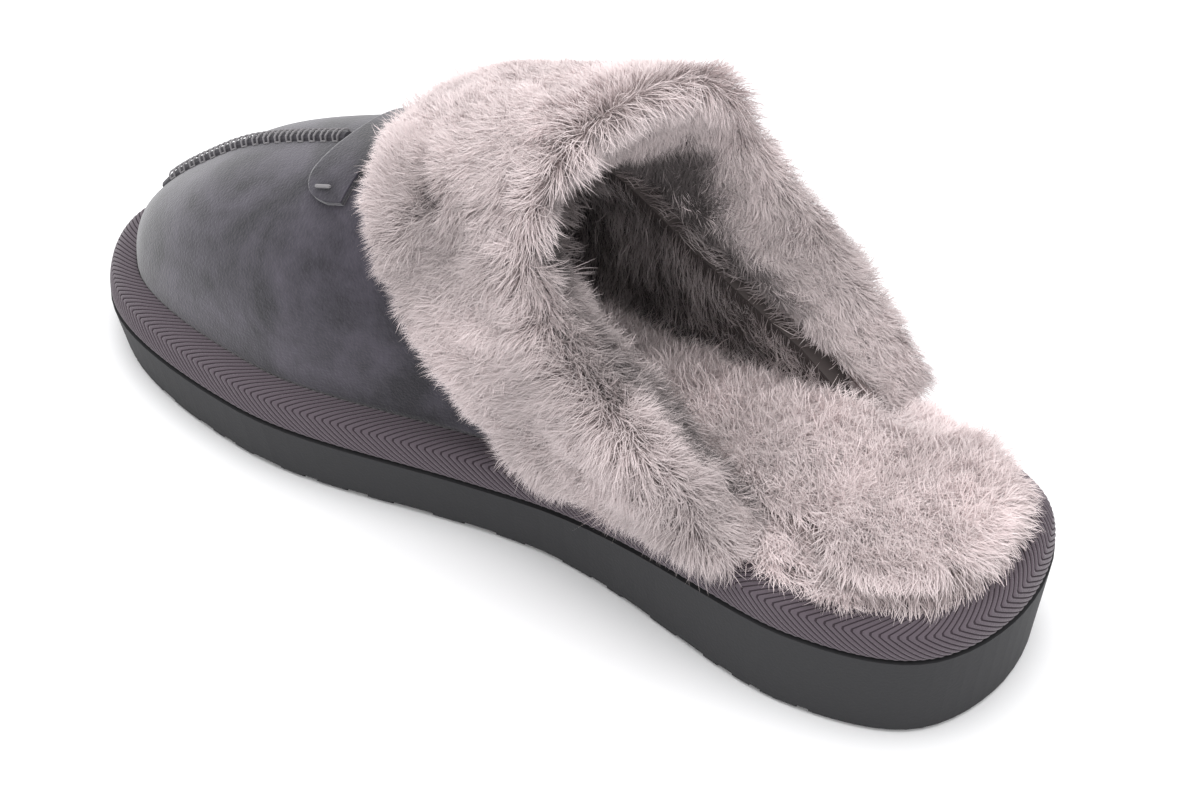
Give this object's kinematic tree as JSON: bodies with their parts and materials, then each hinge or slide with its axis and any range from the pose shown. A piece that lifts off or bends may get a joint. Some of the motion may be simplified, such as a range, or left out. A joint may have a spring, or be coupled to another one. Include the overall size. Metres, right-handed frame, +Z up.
{
  "type": "fluffy house slipper",
  "caption": "Backless house slipper with a suede-look vamp, a deep turned-out faux-fur cuff, a fur footbed, a twill-taped platform and a ridged foam outsole.",
  "frame": {"origin": "on the ground, under the middle of the slipper's bounding box", "axes": "+Z up, +Y from the heel to the toe, +X to the wearer's right, which is the outer side of this right slipper"},
  "size_m": [0.0916, 0.256, 0.1127],
  "materials": {
    "foam_rubber": "matte",
    "soft_foam": "matte",
    "twill_tape": "herringbone twill",
    "board": "fibre board",
    "suede": "brushed nap",
    "pile": "long pile",
    "stiffener": "matte",
    "thread": "matte"
  },
  "bodies": {
    "root": {"outsole": "foam_rubber", "midsole_foam": "soft_foam", "platform_tape": "twill_tape", "insole_board": "board", "footbed_cushion": "soft_foam", "footbed_fur": "pile", "vamp_right": "suede", "vamp_left": "suede", "toe_puff": "stiffener", "topline_stay": "stiffener", "vamp_lining": "pile", "fur_cuff": "pile", "centre_seam_piping": "suede", "centre_seam_thread": "thread", "instep_tab": "suede", "bar_tack_right": "thread", "bar_tack_left": "thread"}
  },
  "joints": []
}
